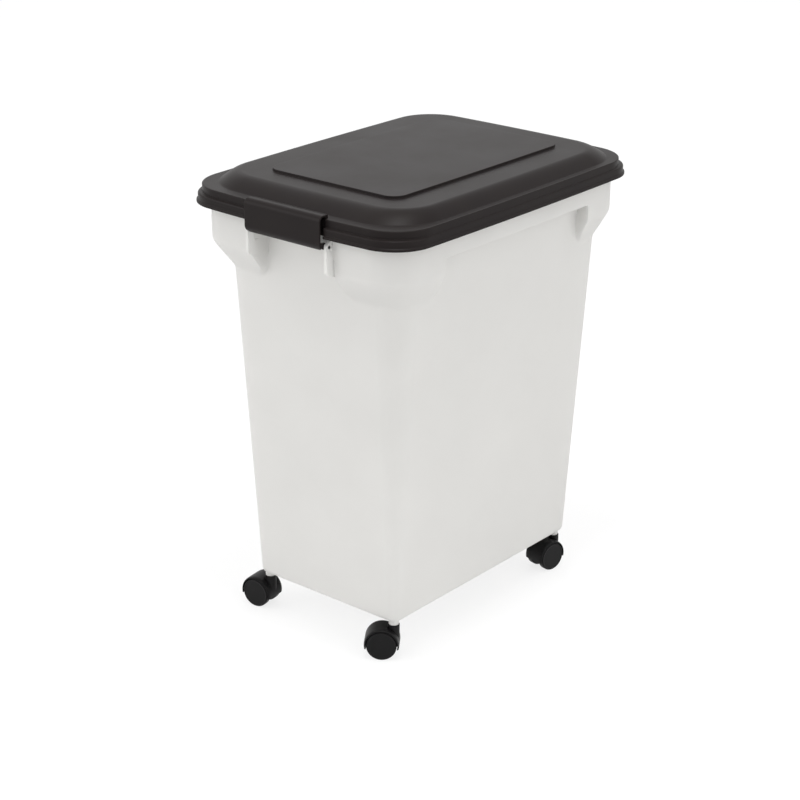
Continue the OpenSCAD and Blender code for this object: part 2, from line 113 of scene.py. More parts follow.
def moulded(name, low, high, roughness, spread, cloud_mm, grain_mm, grain_depth_mm, lets_through=0.0,
            passing="#FFFFFF", **shader):
    """A moulded plastic: cloudy colour, uneven gloss, a fine spark-eroded grain, and a share of the light
    let through in the colour passing."""
    made, tree = material(name)
    place = add(tree, "ShaderNodeTexCoord")
    cloud = add(tree, "ShaderNodeTexNoise", Vector=(place, "Object"), Scale=1 / (cloud_mm * MM), Detail=3.0,
                Roughness=0.5)
    tint = add(tree, "ShaderNodeValToRGB", Fac=(cloud, "Fac"))
    for stop, position, colour in zip(tint.color_ramp.elements, (CLOUD_LOW, CLOUD_HIGH), (low, high)):
        stop.position, stop.color = position, srgb(colour)
    gloss = add(tree, "ShaderNodeMapRange", Value=(cloud, "Fac"), From_Min=CLOUD_LOW, From_Max=CLOUD_HIGH,
                To_Min=roughness - spread, To_Max=roughness + spread)
    grain = add(tree, "ShaderNodeTexNoise", Vector=(place, "Object"), Scale=1 / (grain_mm * MM), Detail=2.0)
    bump = add(tree, "ShaderNodeBump", Height=(grain, "Fac"), Strength=1.0, Distance=grain_depth_mm * MM)
    surface = add(tree, "ShaderNodeBsdfPrincipled", Base_Color=(tint, "Color"), Roughness=(gloss, "Result"),
                  Normal=(bump, "Normal"))
    for key, value in shader.items():
        surface.inputs[key.replace("_", " ")].default_value = value
    through = add(tree, "ShaderNodeBsdfTranslucent", Color=srgb(passing), Normal=(bump, "Normal"))
    both = add(tree, "ShaderNodeMixShader", i0=lets_through, i1=(surface, "BSDF"), i2=(through, "BSDF"))
    add(tree, "ShaderNodeOutputMaterial", Surface=(both, "Shader"))
    return made


# Natural polypropylene, injection moulded: milky, light passes through its thin wall, satin skin
milky_polypropylene = moulded("milky_polypropylene", "#E5E4E1", "#E9E8E5", roughness=0.42, spread=0.03,
                              cloud_mm=90, grain_mm=1.6, grain_depth_mm=0.02, lets_through=0.4,
                              passing="#FDFDFD", IOR=1.49)
# Charcoal polypropylene, injection moulded in a finely grained tool: soft satin highlights
charcoal_polypropylene = moulded("charcoal_polypropylene", "#1E1A1A", "#211D1C", roughness=0.4, spread=0.02,
                                 cloud_mm=60, grain_mm=0.9, grain_depth_mm=0.03, IOR=1.49,
                                 Specular_IOR_Level=0.09)
# Black nylon, injection moulded: darker than the lid, with a harder sheen
black_nylon = moulded("black_nylon", "#121212", "#161516", roughness=0.4, spread=0.03, cloud_mm=20,
                      grain_mm=0.8, grain_depth_mm=0.02, IOR=1.53, Specular_IOR_Level=0.12)
# Black thermoplastic rubber: matte seal
seal_rubber = moulded("seal_rubber", "#1B1B1C", "#212122", roughness=0.7, spread=0.05, cloud_mm=15,
                      grain_mm=0.6, grain_depth_mm=0.03, IOR=1.5)
# Zinc-plated steel pins and stems: bright grey metal, lightly brushed
zinc_steel = moulded("zinc_steel", "#B4B6B8", "#C2C4C6", roughness=0.32, spread=0.06, cloud_mm=6,
                     grain_mm=0.3, grain_depth_mm=0.01, Metallic=1.0)

FINISH = {
    "milky_polypropylene": milky_polypropylene,
    "charcoal_polypropylene": charcoal_polypropylene,
    "black_nylon": black_nylon,
    "seal_rubber": seal_rubber,
    "steel": zinc_steel,
}

# ---------------------------------------------------------------- floor and light

# The floor lights the object as a matt white sheet; where it is seen it is a glow that keeps the shadow
FLOOR_REACH = 6.0
FLOOR_MATT, FLOOR_SHOWN, FLOOR_GLOW = 0.85, 0.22, 0.78
ROOM_LEVEL = 0.98
# Disc lamps: name, place, what it points at, diameter in metres, watts
LAMPS = [
    ("softbox_left", (-1.9, -2.2, 1.4), (0, 0, 0.3), 2.0, 21),
    ("softbox_right", (2.6, 0.3, 0.9), (0, 0, 0.3), 1.6, 10),
    ("softbox_behind", (-1.9, 1.6, 1.5), (0, 0, 0.5), 2.0, 2.2),
    ("softbox_above", (0.3, -0.35, 2.6), (0.1, -0.15, 0.5), 0.4, 24),
]


def shows_background(tree):
    """1 for rays that see the white background: from the camera, in reflections and through clear pieces."""
    path = add(tree, "ShaderNodeLightPath")
    mirrored = add(tree, "ShaderNodeMath", {"operation": "ADD", "use_clamp": True}, i0=(path, "Is Glossy Ray"),
                   i1=(path, "Is Transmission Ray"))
    return add(tree, "ShaderNodeMath", {"operation": "ADD", "use_clamp": True}, i0=(path, "Is Camera Ray"),
               i1=(mirrored, "Value"))


def make_floor():
    mesh = bpy.data.meshes.new("studio_floor")
    corners = [(sx * FLOOR_REACH, sy * FLOOR_REACH, 0) for sx, sy in ((-1, -1), (1, -1), (1, 1), (-1, 1))]
    mesh.from_pydata(corners, [], [(0, 1, 2, 3)])
    floor = bpy.data.objects.new("studio_floor", mesh)
    bpy.context.scene.collection.objects.link(floor)
    made, tree = material("studio_white")
    seen = shows_background(tree)
    matt = add(tree, "ShaderNodeBsdfDiffuse", Color=(*[FLOOR_MATT] * 3, 1))
    shown = add(tree, "ShaderNodeBsdfDiffuse", Color=(*[FLOOR_SHOWN] * 3, 1))
    glow = add(tree, "ShaderNodeEmission", Color=(1, 1, 1, 1), Strength=FLOOR_GLOW)
    bright = add(tree, "ShaderNodeAddShader", i0=(shown, "BSDF"), i1=(glow, "Emission"))
    mix = add(tree, "ShaderNodeMixShader", i0=(seen, "Value"), i1=(matt, "BSDF"), i2=(bright, "Shader"))
    add(tree, "ShaderNodeOutputMaterial", Surface=(mix, "Shader"))
    mesh.materials.append(made)


def make_world():
    world = bpy.data.worlds.new("studio")
    world.use_nodes = True
    tree = world.node_tree
    tree.nodes.clear()
    seen = shows_background(tree)
    room = add(tree, "ShaderNodeBackground", Color=(1, 1, 1, 1), Strength=ROOM_LEVEL)
    white = add(tree, "ShaderNodeBackground", Color=(1, 1, 1, 1), Strength=1.0)
    mix = add(tree, "ShaderNodeMixShader", i0=(seen, "Value"), i1=(room, "Background"),
              i2=(white, "Background"))
    add(tree, "ShaderNodeOutputWorld", Surface=(mix, "Shader"))
    bpy.context.scene.world = world


def area_light(name, at, aim, size, watts):
    data = bpy.data.lights.new(name, "AREA")
    data.shape = "DISK"
    data.size = size
    data.energy = watts
    lamp = bpy.data.objects.new(name, data)
    bpy.context.scene.collection.objects.link(lamp)
    lamp.location = at
    lamp.rotation_euler = (Vector(aim) - Vector(at)).to_track_quat("-Z", "Y").to_euler()


make_floor()
make_world()
for lamp in LAMPS:
    area_light(*lamp)

bpy.context.scene.view_settings.view_transform = "Standard"

# ---------------------------------------------------------------- meshes

SHARP_DEG = 32
BEVEL_FROM_DEG, BEVEL_SEGMENTS = 35, 2
WELD_MM, FLAT_DEG = 0.001, 1


def finished(name, vertices, faces, finish, body, slot, replaces=()):
    """A piece from its vertices in millimetres."""
    finish_mesh(name, mesh_of(name, vertices, faces), finish, body, replaces)


def finish_mesh(name, mesh, finish, body, replaces=()):
    """A piece from its mesh, smooth but for its sharp edges, riding on its body."""
    mesh.validate()
    mesh.shade_smooth()
    mesh.set_sharp_from_angle(angle=math.radians(SHARP_DEG))
    mesh.materials.clear()
    mesh.materials.append(FINISH[finish])
    piece = bpy.data.objects.new(name, mesh)
    bpy.context.scene.collection.objects.link(piece)
    even = piece.modifiers.new("even_normals", "WEIGHTED_NORMAL")
    even.keep_sharp = True
    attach(piece, body)
    if replaces:
        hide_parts(*replaces)


def bevel(mesh, width):
    """Rounds the sharp edges of a mesh, by width in millimetres."""
    work = bmesh.new()
    work.from_mesh(mesh)
    bmesh.ops.remove_doubles(work, verts=work.verts, dist=WELD_MM * MM)
    bmesh.ops.dissolve_limit(work, angle_limit=math.radians(FLAT_DEG), verts=work.verts, edges=work.edges)
    edges = [e for e in work.edges if e.is_manifold and e.calc_face_angle() > math.radians(BEVEL_FROM_DEG)]
    bmesh.ops.bevel(work, geom=edges, offset=width * MM, offset_type="OFFSET", segments=BEVEL_SEGMENTS,
                    profile=0.5, affect="EDGES", clamp_overlap=True)
    work.to_mesh(mesh)
    work.free()


def prism(outline, x0, x1):
    """Vertices and faces of a (y, z) outline, drawn from x0 to x1."""
    return lofted([[(x, y, z) for y, z in outline] for x in (x0, x1)])


def joined(parts):
    """One list of vertices and faces out of several."""
    vertices, faces = [], []
    for part_vertices, part_faces in parts:
        start = len(vertices)
        vertices += part_vertices
        faces += [tuple(start + i for i in face) for face in part_faces]
    return vertices, faces


def mesh_of(name, vertices, faces):
    """A mesh in metres from vertices in millimetres."""
    mesh = bpy.data.meshes.new(name)
    mesh.from_pydata([(x * MM, y * MM, z * MM) for x, y, z in vertices], [], faces)
    return mesh


def rounded_piece(name, parts, width, finish, body, replaces=(), rows=()):
    """A piece of several prisms or turned parts whose edges are rounded by width, repeated in rows."""
    mesh = mesh_of(name, *joined(parts))
    work = bmesh.new()
    work.from_mesh(mesh)
    bmesh.ops.recalc_face_normals(work, faces=work.faces)
    work.to_mesh(mesh)
    work.free()
    bevel(mesh, width)
    if rows:
        mesh = in_rows(mesh, finish, *rows)
    finish_mesh(name, mesh, finish, body, replaces)


def lofted(rings):
    """Vertices and faces of a skin over a row of rings of points, with a flat cap at each end."""
    n, m = len(rings[0]), len(rings)
    vertices = [p for ring in rings for p in ring]
    faces = []
    for a in range(0, (m - 1) * n, n):
        b = a + n
        faces += [(a + j, a + (j + 1) % n, b + (j + 1) % n, b + j) for j in range(n)]
    faces += [tuple(reversed(range(n))), tuple(range((m - 1) * n, m * n))]
    return vertices, faces


def rounded(path, radius, steps=4):
    """The same path with each inner corner a curve that starts radius (or its own radius) before it."""
    radii = radius if isinstance(radius, list) else [radius] * len(path)

    def between(a, b, t):
        return tuple(u + (v - u) * t for u, v in zip(a, b))

    def reach(a, b):
        return max(1e-6, math.hypot(b[0] - a[0], b[-1] - a[-1]))

    result = [path[0]]
    for before, here, after, r in zip(path, path[1:], path[2:], radii[1:]):
        start = between(here, before, min(0.45, r / reach(here, before)))
        end = between(here, after, min(0.45, r / reach(here, after)))
        for i in range(steps + 1):
            t = i / steps
            result.append(between(between(start, here, t), between(here, end, t), t))
    return result + [path[-1]]


# ---------------------------------------------------------------- what repeats, set out by geometry nodes


def row_tree():
    """Copies of a piece in a straight row about the middle: how many, and the step from one to the next."""
    tree = bpy.data.node_groups.new("row_of_pieces", "GeometryNodeTree")
    for name, kind in (("Piece", "Geometry"), ("Count", "Int"), ("Step", "Vector"), ("Finish", "Material")):
        tree.interface.new_socket(name=name, in_out="INPUT", socket_type="NodeSocket" + kind)
    tree.interface.new_socket(name="Row", in_out="OUTPUT", socket_type="NodeSocketGeometry")
    given = add(tree, "NodeGroupInput")
    steps = add(tree, "ShaderNodeMath", {"operation": "SUBTRACT"}, i0=(given, "Count"), i1=1.0)
    half = add(tree, "ShaderNodeMath", {"operation": "MULTIPLY"}, i0=(steps, "Value"), i1=-0.5)
    start = add(tree, "ShaderNodeVectorMath", {"operation": "SCALE"}, i0=(given, "Step"), Scale=(half, "Value"))
    line = add(tree, "GeometryNodeMeshLine", {"mode": "OFFSET"}, Count=(given, "Count"),
               Start_Location=(start, "Vector"), Offset=(given, "Step"))
    copies = add(tree, "GeometryNodeInstanceOnPoints", Points=(line, "Mesh"), Instance=(given, "Piece"))
    real = add(tree, "GeometryNodeRealizeInstances", Geometry=(copies, "Instances"))
    dressed = add(tree, "GeometryNodeSetMaterial", Geometry=(real, "Geometry"), Material=(given, "Finish"))
    add(tree, "NodeGroupOutput", Row=(dressed, "Geometry"))
    return tree


ROW = row_tree()


def in_rows(mesh, finish, *rows):
    """The mesh repeated: each row is (count, step in millimetres); a second row repeats the first."""
    carrier = bpy.data.objects.new("row_carrier", mesh)
    bpy.context.scene.collection.objects.link(carrier)
    sockets = {item.name: item.identifier for item in ROW.interface.items_tree}
    for count, step in rows:
        row = carrier.modifiers.new("row", "NODES")
        row.node_group = ROW
        row[sockets["Count"]] = count
        row[sockets["Step"]] = [v * MM for v in step]
        row[sockets["Finish"]] = FINISH[finish]
    bpy.context.view_layer.update()
    result = bpy.data.meshes.new_from_object(carrier.evaluated_get(bpy.context.evaluated_depsgraph_get()))
    bpy.data.objects.remove(carrier)
    return result


# ---------------------------------------------------------------- outlines of the bin and the lid
# An outline is (half width, half depth, corner radius, shift to the back, bulge of the sides, of the ends)

SIDE, ARC, END = range(3)
# Where the body wall's corner arcs have their centres, to either side of the middle
CORNER_X, CORNER_Y = 102.0, 166.0


def stations(sides, ends, corner_steps):
    """Places round an outline: (kind, share of the straight stretch or angle, sign of x, sign of y)."""
    quarter = [(SIDE, s) for s in sides[1:]]
    quarter += [(ARC, 90 * i / corner_steps) for i in range(corner_steps + 1)]
    quarter += [(END, s) for s in reversed(ends[1:])]
    around = []
    for sx, sy, forwards in ((1, 1, True), (-1, 1, False), (-1, -1, True), (1, -1, False)):
        middle = (SIDE, sides[0]) if forwards else (END, ends[0])
        around.append((*middle, sx, sy))
        around += [(kind, value, sx, sy) for kind, value in (quarter if forwards else reversed(quarter))]
    return around


def inset(outline, d):
    """The outline drawn in by d all round."""
    half_w, half_d, corner, shift, side_bulge, end_bulge = outline
    return half_w - d, half_d - d, corner - d, shift, side_bulge, end_bulge


def blend(a, b, t):
    """The place, or the outline, at share t of the way from a to b."""
    return tuple(u + (v - u) * t for u, v in zip(a, b))


def placed(share, own, other, fixed):
    """A place on a straight stretch of length other: by own lengths up to the share fixed, then catching up."""
    if fixed == 1.0:
        return share * other
    return share * own + (other - own) * max(0.0, share - fixed) / (1 - fixed)


def on_outline(station, outline, fixed=1.0):
    """A point of an outline; up to the share fixed, straight stretches keep the body wall's distances."""
    kind, value, sx, sy = station
    half_w, half_d, corner, shift, side_bulge, end_bulge = outline
    arc_x = half_w - corner - side_bulge * ((half_d - corner) / half_d) ** 2
    arc_y = half_d - corner - end_bulge * ((half_w - corner) / half_w) ** 2
    if kind == SIDE:
        y = placed(value, CORNER_Y, arc_y, fixed)
        return sx * (half_w - side_bulge * (y / half_d) ** 2), shift + sy * y
    if kind == END:
        x = placed(value, CORNER_X, arc_x, fixed)
        return sx * x, shift + sy * (half_d - end_bulge * (x / half_w) ** 2)
    angle = math.radians(value)
    return sx * (arc_x + corner * math.cos(angle)), shift + sy * (arc_y + corner * math.sin(angle))


# ---------------------------------------------------------------- bin body

WALL = 2.4
FLOOR_T = 3.0
FOOT_Z, WAIST_Z, BEAD_LOW_Z, RIM_Z = 50.0, 466.0, 548.6, 560.0
# The tapered wall at its foot and at its waist: (half width, half depth, shift to the back)
FOOT = (114.5, 179.0, 1.5)
WAIST = (139.7, 204.0, 3.0)
BAND = (162.0, 226.0, 50.0, -2.0, 3.5, 5.0)
# The corner flares run out to the band over this height; between them a ledge does, higher up at the latch
FLARE_H, FLARE_BEND = 35.0, 5.0
LEDGE_Z, GRIP_Z, LEDGE_H, LEDGE_BEND = 518.0, 528.0, 2.0, 1.1
BEAD_OUT = 1.8
# Up to this share of a straight stretch, the band keeps the wall's own distances
STEADY_SHARE = 0.9
# How the wall turns in to the floor: (distance in, height above the foot); and the bead: (distance out, height)
FOOT_CURVE = [(5.0, 0.0), (1.2, 0.9), (0.0, 5.5), (0.0, 9.0)]
BEAD_CURVE = [(0, 538), (0, BEAD_LOW_Z), (BEAD_OUT, BEAD_LOW_Z + 1.2), (BEAD_OUT, RIM_Z - 0.6),
              (-0.2, RIM_Z), (-WALL + 0.6, RIM_Z), (-WALL, RIM_Z - 1), (-WALL, 540)]
FOOT_CURVE_R, BEAD_CURVE_R = 2.5, 0.9
# Heights of the rings, close together where the wall turns: (first, last, step)
WALL_RINGS, FLARE_RINGS, LEDGE_RINGS = (75, 455, 60), (459, 514, 2.2), (515.5, 533, 0.7)
INNER_LEDGE_RINGS, INNER_FLARE_RINGS, INNER_WALL_RINGS = (517.5, 536, 0.8), (460, 516, 2.6), (440, 300, 160, 75)
# The wall's inside turns out this much higher than its outside, at the flares
INNER_FLARE_LIFT = 1.2


def spaced(first, last, step):
    """Even places from first to last, about step apart."""
    count = max(1, round((last - first) / step))
    return [first + (last - first) * i / count for i in range(count + 1)]


def wall_outline(z):
    """The tapered wall's outline at height z."""
    t = (z - FOOT_Z) / (WAIST_Z - FOOT_Z)
    half_w, half_d, shift = blend(FOOT, WAIST, t)
    return half_w, half_d, half_w - CORNER_X, shift, 0.0, 0.0


def ramp(v, low, high, soft):
    """0 below low, 1 above high, straight between them, with each bend softened over +-soft."""
    def bend(d):
        return 0.0 if d <= -soft else d if d >= soft else (d + soft) ** 2 / (4 * soft)
    return (bend(v - low) - bend(v - high)) / (high - low)


def smooth(v, low, high):
    """0 below low, 1 above high, and an S curve between them."""
    t = min(1.0, max(0.0, (v - low) / (high - low)))
    return t * t * (3 - 2 * t)


def along(z, table):
    """Straight-line lookup in (height, value) pairs."""
    for (z0, v0), (z1, v1) in zip(table, table[1:]):
        if z <= z1:
            return v0 + (v1 - v0) * (z - z0) / (z1 - z0)
    return table[-1][1]


# Where the corner flares end: (height, distance from the middle of a long side or of an end)
FLARE_END_SIDE = [(464, 152), (470, 145), (475, 141.5), (481, 139.2), (518, 139)]
FLARE_END_FRONT = [(464, 76), (470, 69), (475, 65.5), (481, 63.7), (518, 63.5)]
# Half the width over which a flare's cheek turns in, and half the width of the higher ledge at the latch
CHEEK, RECESS_HALF = 2.3, 58.5


def out_share(station, z, later):
    """How far the wall has moved out to the band: the corner flares, then the ledge between them."""
    kind, value, _, sy = station
    flare = ramp(z, WAIST_Z, WAIST_Z + FLARE_H, FLARE_BEND)
    if kind != ARC:
        table, corner = (FLARE_END_SIDE, CORNER_Y) if kind == SIDE else (FLARE_END_FRONT, CORNER_X)
        edge = along(z, table) + later
        flare *= smooth(value * corner, edge - CHEEK, edge + CHEEK)
    ledge_z = GRIP_Z if kind == END and sy < 0 and value * CORNER_X < RECESS_HALF else LEDGE_Z
    ledge = ramp(z, ledge_z, ledge_z + LEDGE_H, LEDGE_BEND)
    return 1 - (1 - flare) * (1 - ledge)


# Distances from the middle, close together where a flare's cheek or the higher ledge ends
SIDE_PLACES = [0, 30, 60, 90, 115, 128, 133] + spaced(136, 142, 0.75) + spaced(143.5, 160, 1.7)
END_PLACES = [0, 18, 36, 48, 54, 56.5, 58, 59] + spaced(60.5, 66.5, 0.75) + spaced(68, 98, 2.5)
BODY_STATIONS = stations([s / CORNER_Y for s in SIDE_PLACES], [s / CORNER_X for s in END_PLACES], 22)


def body_ring(z, d, later=0.0, lift=0.0, out=0.0):
    """The body's ring at height z, d inside its outer skin; later and lift make the inside turn out later."""
    ring = []
    wall, band = inset(wall_outline(z), d), inset(BAND, d - out)
    for station in BODY_STATIONS:
        share = out_share(station, z - lift, later) if z > WAIST_Z - FLARE_BEND - WALL else 0.0
        x, y = blend(on_outline(station, wall), on_outline(station, band, STEADY_SHARE), share)
        ring.append((x, y, z))
    return ring


def bin_rings():
    """The body's skin, up its outside, over the bead and down its inside to the floor."""
    foot = rounded(FOOT_CURVE, FOOT_CURVE_R)
    rings = [body_ring(FOOT_Z + z, d) for d, z in foot]
    rings += [body_ring(z, 0) for z in spaced(*WALL_RINGS) + spaced(*FLARE_RINGS) + spaced(*LEDGE_RINGS)]
    rings += [body_ring(z, 0, out=out) for out, z in rounded(BEAD_CURVE, BEAD_CURVE_R)]
    rings += [body_ring(z, WALL, WALL, WALL) for z in reversed(spaced(*INNER_LEDGE_RINGS))]
    rings += [body_ring(z, WALL, WALL, INNER_FLARE_LIFT) for z in reversed(spaced(*INNER_FLARE_RINGS))]
    rings += [body_ring(z, WALL) for z in INNER_WALL_RINGS]
    rings += [body_ring(FOOT_Z + FLOOR_T + z, WALL + d) for d, z in reversed(foot)]
    return rings


finished("bin_body_shell", *lofted(bin_rings()), "milky_polypropylene", "bin", "milky_polypropylene",
         replaces=("bin_body",))


def turned(profile, steps=48):
    """Vertices and faces of a closed (radius, height) section turned about the z axis."""
    rings = [[(r * math.cos(2 * math.pi * k / steps), r * math.sin(2 * math.pi * k / steps), z)
              for k in range(steps)] for r, z in profile]
    return lofted(rings)


SOCKET_X, SOCKET_Y = 104.0, 167.0
# A stem's socket: (radius, height), from its blind bore round its foot and up its outside
SOCKET_SECTION = [(4.15, 70), (4.15, 44.5), (4.6, 44), (6.0, 44), (6.3, 44.3), (6.3, 55.3), (6.5, 55.8),
                  (7.6, 56.4), (7.6, 79), (7.3, 79.6), (6.6, 80)]
socket = mesh_of("socket", *turned(rounded(SOCKET_SECTION, 0.3, 2)))
sockets = in_rows(socket, "milky_polypropylene", (2, (2 * SOCKET_X, 0, 0)), (2, (0, 2 * SOCKET_Y, 0)))
finish_mesh("bin_caster_sockets", sockets, "milky_polypropylene", "bin")


def disc(y, z, r, steps=32, start=0.0, turn=360.0):
    """Points of a circle or an arc about (y, z), in degrees from the y axis."""
    angles = [math.radians(start + turn * k / steps) for k in range(steps if turn == 360 else steps + 1)]
    return [(y + r * math.cos(a), z + r * math.sin(a)) for a in angles]


def tangent_deg(axis, r, point):
    """Direction from the axis to where a line from the point touches a circle about it."""
    away = (point[0] - axis[0], point[1] - axis[1])
    return math.degrees(math.atan2(away[1], away[0]) + math.acos(r / math.hypot(*away)))


# Each hinge: a lid's knuckle between two ears of the bin
HINGE_Y, HINGE_Z, HINGE_R = 243.0, 553.0, 5.0
HINGE_X, KNUCKLE_L, EAR_T, EAR_GAP, EAR_H = 80.0, 21.0, 4.5, 0.5, 17.0
BAND_BACK, BAND_FRONT = BAND[1] + BAND[3], BAND[3] - BAND[1]
# How far ears and ribs reach into the band
SUNK = 2.0
EAR_OFFSET = KNUCKLE_L / 2 + EAR_GAP + EAR_T / 2
HINGE_ROW = (2, (2 * HINGE_X, 0, 0))
EAR_ROOT_Y, EAR_ROOT_Z = BAND_BACK - SUNK, HINGE_Z - EAR_H
ear_deg = tangent_deg((HINGE_Y, HINGE_Z), HINGE_R, (EAR_ROOT_Y, EAR_ROOT_Z))
ear = [(EAR_ROOT_Y, HINGE_Z + HINGE_R - 1), (EAR_ROOT_Y, EAR_ROOT_Z)]
ear += disc(HINGE_Y, HINGE_Z, HINGE_R, 20, ear_deg, 90 - ear_deg)
hinge_ears = [prism(ear, o - EAR_T / 2, o + EAR_T / 2) for o in (-EAR_OFFSET, EAR_OFFSET)]
# The latch hangs between two ribs of the bin
LATCH_W, LATCH_Y, LATCH_LOW_Z = 117.5, 243.6, 532.3
PIVOT_Y, PIVOT_Z = -233.0, 536.3
RIB_X, RIB_R, RIB_FOOT_Z, RIB_RISE, RIB_FOOT_R = LATCH_W / 2 + 0.5, 4.5, 504.0, 6.0, 3.0
RIB_ROOT_Y, RIB_HEAD_Z, RIB_STRAIGHT_Z = BAND_FRONT + SUNK, 546.0, 520.0
RIB_TOE_Y = -212.0


def wall_front(z):
    """How far to the front the middle of the wall's thickness lies at height z."""
    _, half_d, _, shift, _, _ = wall_outline(z)
    return shift - half_d + WALL / 2


head_deg = tangent_deg((PIVOT_Y, PIVOT_Z), RIB_R, (RIB_ROOT_Y, RIB_HEAD_Z))
rib = [(RIB_ROOT_Y, LEDGE_Z + WALL / 2), (RIB_ROOT_Y, RIB_HEAD_Z)]
rib += disc(PIVOT_Y, PIVOT_Z, RIB_R, 20, head_deg, 180 - head_deg)
rib += rounded([(PIVOT_Y - RIB_R, RIB_STRAIGHT_Z), (PIVOT_Y - RIB_R, RIB_FOOT_Z),
                (PIVOT_Y - RIB_R + 2.5 * RIB_RISE, RIB_FOOT_Z - RIB_RISE), (RIB_TOE_Y, RIB_FOOT_Z - RIB_RISE)],
               RIB_FOOT_R)
rib += [(wall_front(RIB_FOOT_Z), RIB_FOOT_Z - RIB_RISE), (wall_front(LEDGE_Z), LEDGE_Z + WALL / 2)]
rounded_piece("bin_hinge_ears", hinge_ears, 0.5, "milky_polypropylene", "bin",
              rows=[HINGE_ROW])
rounded_piece("bin_latch_ribs", [prism(rib, -EAR_T / 2, EAR_T / 2)], 0.5, "milky_polypropylene", "bin",
              rows=[(2, (2 * RIB_X + EAR_T, 0, 0))])

# ---------------------------------------------------------------- lid

LID_WALL = 2.4
SKIRT_Z, TIER_Z, FLANGE_Z, DOME_Z, PANEL_Z = 547.0, 559.0, 569.0, 582.0, 585.0
FLANGE_UNDER_Z = FLANGE_Z - LID_WALL
# The skirt's lip stands out under the lower tier; the upper tier, the flange's edge, steps in above it
SKIRT = (175.4, 238.5, 51.0, -2.5, 3.5, 7.0)
LIP_OUT, LIP_Z, LIP_TOP_Z = 1.8, SKIRT_Z + 2.8, SKIRT_Z + 3.8
LOWER_TIER = inset(SKIRT, LIP_OUT)
UPPER_TIER = (172.2, 232.0, 54.0, -3.5, 3.5, 7.0)
DOME_BASE = (163.5, 221.5, 68.0, 0.0, 3.5, 5.0)
DOME_TOP = (141.5, 190.0, 46.0, -1.0, 2.0, 2.5)
DOME_INSIDE = inset(DOME_BASE, 6)
PANEL = (102.0, 160.5, 19.0, 0.0, 1.0, 0.2)
# A rib under the flange reaches into the bin's mouth
MOUTH_GAP, MOUTH_RIB_T = 1.2, 2.0
MOUTH_RIB = inset(BAND, WALL + MOUTH_GAP + MOUTH_RIB_T)
MOUTH_RIB_OUTER = inset(BAND, WALL + MOUTH_GAP)
MOUTH_RIB_Z = RIM_Z - 4.0
DOME_FOOT_R = 1.2
LID_STATIONS = stations([i / 7 for i in range(7)], [i / 6 for i in range(6)], 18)


def dome(foot, top, foot_z, top_z, steps=16):
    """Levels of the dome: steep at its foot, rounding over to level."""
    return [(*blend(foot, top, i / steps), foot_z + (top_z - foot_z) * math.sin(math.pi / 2 * i / steps))
            for i in range(steps + 1)]


def lid_rings():
    """The lid's skin: its underside from the middle outwards, round the skirt, and back over the top."""
    under = [(*inset(PANEL, 14), PANEL_Z - LID_WALL), (*inset(PANEL, LID_WALL), PANEL_Z - LID_WALL),
             (*inset(PANEL, 1), DOME_Z - LID_WALL)]
    under += reversed(dome(DOME_INSIDE, inset(DOME_TOP, 1.2), FLANGE_UNDER_Z, DOME_Z - LID_WALL, 6))
    upper_inside, lower_inside = inset(UPPER_TIER, LID_WALL), inset(LOWER_TIER, LID_WALL)
    # (outline, height, radius)
    corners = [
        (MOUTH_RIB, MOUTH_RIB_Z, 0.4), (MOUTH_RIB_OUTER, MOUTH_RIB_Z, 0.4),
        (MOUTH_RIB_OUTER, FLANGE_UNDER_Z, 0.3), (upper_inside, FLANGE_UNDER_Z, 0.6),
        (upper_inside, TIER_Z - 1.4, 0.5), (lower_inside, TIER_Z - 2.4, 0.5), (lower_inside, SKIRT_Z, 0.8),
        (SKIRT, SKIRT_Z, 0.6), (SKIRT, LIP_Z, 0.7), (LOWER_TIER, LIP_TOP_Z, 0.6), (LOWER_TIER, TIER_Z, 2.2),
        (UPPER_TIER, TIER_Z + 0.5, 0.5), (UPPER_TIER, FLANGE_Z, 1.1),
    ]
    rim = [(*outline, z) for outline, z, _ in corners]
    top = dome(DOME_BASE, DOME_TOP, FLANGE_Z, DOME_Z)
    panel = [(*inset(PANEL, -0.3), DOME_Z), (*PANEL, PANEL_Z)]
    path = under[-1:] + rim + top[:2]
    radii = [0] + [r for _, _, r in corners] + [DOME_FOOT_R]
    levels = under[:-1] + rounded(path, radii)[:-1] + top[1:]
    levels += rounded([top[-1]] + panel + [(*inset(PANEL, 4), PANEL_Z)], [0, 0.4, 0.6])[1:]
    levels += [(*inset(PANEL, 10), PANEL_Z), (*inset(PANEL, 14), PANEL_Z)]
    return [[(*on_outline(station, level[:6]), level[6]) for station in LID_STATIONS] for level in levels]


def box(x0, x1, y0, y1, z0, z1):
    """Vertices and faces of a block."""
    return prism([(y0, z0), (y1, z0), (y1, z1), (y0, z1)], x0, x1)


def cut(mesh, parts):
    """Takes closed parts away from a mesh."""
    target = bpy.data.objects.new("cut_target", mesh)
    tool = bpy.data.objects.new("cut_tool", mesh_of("cut_tool", *joined(parts)))
    for thing in (target, tool):
        bpy.context.scene.collection.objects.link(thing)
    knife = target.modifiers.new("knife", "BOOLEAN")
    knife.operation, knife.solver, knife.object = "DIFFERENCE", "EXACT", tool
    bpy.context.view_layer.update()
    result = bpy.data.meshes.new_from_object(target.evaluated_get(bpy.context.evaluated_depsgraph_get()))
    for thing in (target, tool):
        bpy.data.objects.remove(thing)
    return result


